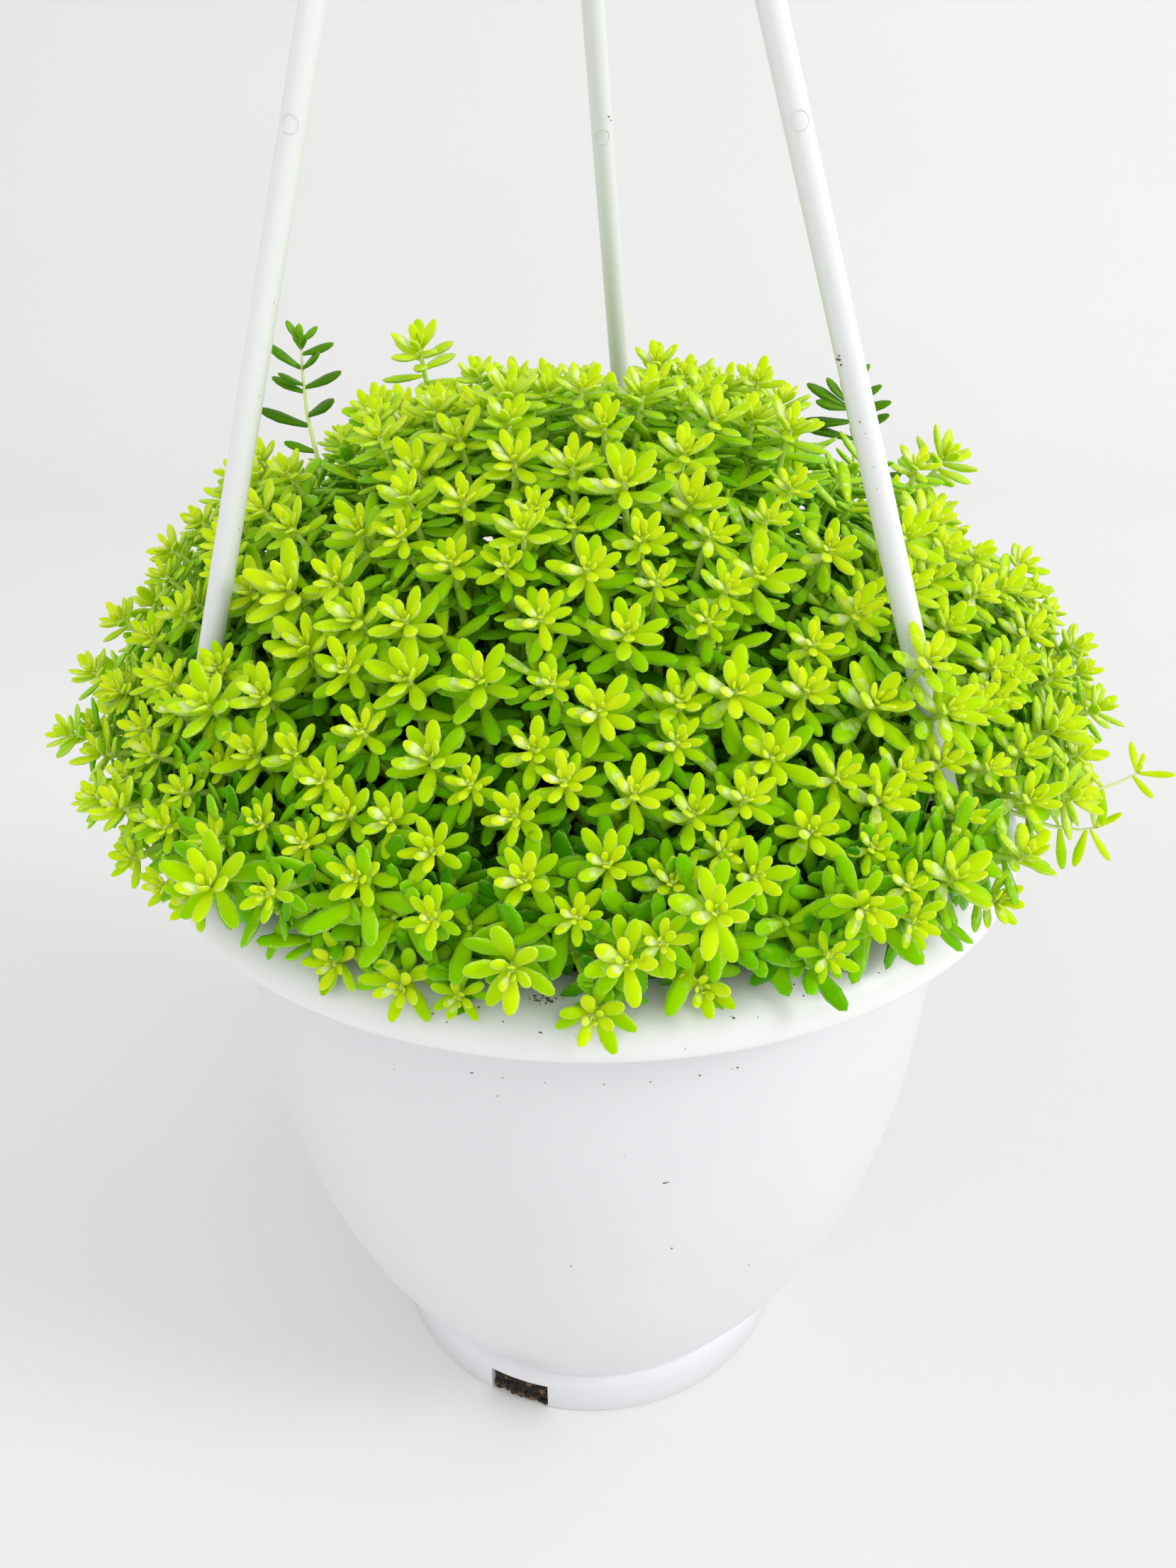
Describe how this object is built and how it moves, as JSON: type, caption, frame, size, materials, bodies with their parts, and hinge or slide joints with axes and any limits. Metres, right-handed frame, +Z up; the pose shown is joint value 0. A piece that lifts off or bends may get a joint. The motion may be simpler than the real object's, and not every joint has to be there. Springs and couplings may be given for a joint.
{
  "type": "potted sedum",
  "caption": "Low mound of golden-green fleshy leaf rosettes in a white plastic hanging pot with a three-armed rod hanger and hook",
  "frame": {"origin": "on the pot's axis at the bottom of its foot", "axes": "+Z up along the pot's axis and the hanger; -Y is the front that the picture shows; +X to the viewer's right"},
  "size_m": [0.1961, 0.183, 0.4057],
  "materials": {
    "white_plastic": "satin",
    "hanger_plastic": "satin",
    "potting_mix": "matte",
    "golden_leaf": "satin",
    "dark_leaf": "satin"
  },
  "bodies": {
    "root": {"pot": "white_plastic", "soil": "potting_mix", "hanger_hook": "hanger_plastic", "hanger_rod_left": "hanger_plastic", "hanger_rod_right": "hanger_plastic", "hanger_rod_rear": "hanger_plastic", "tuft_middle": "golden_leaf", "tuft_inner_01": "golden_leaf", "tuft_inner_02": "golden_leaf", "tuft_inner_03": "golden_leaf", "tuft_inner_04": "golden_leaf", "tuft_inner_05": "golden_leaf", "tuft_inner_06": "golden_leaf", "tuft_outer_01": "golden_leaf", "tuft_outer_02": "golden_leaf", "tuft_outer_03": "golden_leaf", "tuft_outer_04": "golden_leaf", "tuft_outer_05": "golden_leaf", "tuft_outer_06": "golden_leaf", "tuft_outer_07": "golden_leaf", "tuft_outer_08": "golden_leaf", "tuft_outer_09": "golden_leaf", "tuft_outer_10": "golden_leaf", "tuft_outer_11": "golden_leaf", "tuft_outer_12": "golden_leaf", "dark_sprig_left": "dark_leaf", "dark_sprig_right": "dark_leaf"}
  },
  "joints": []
}
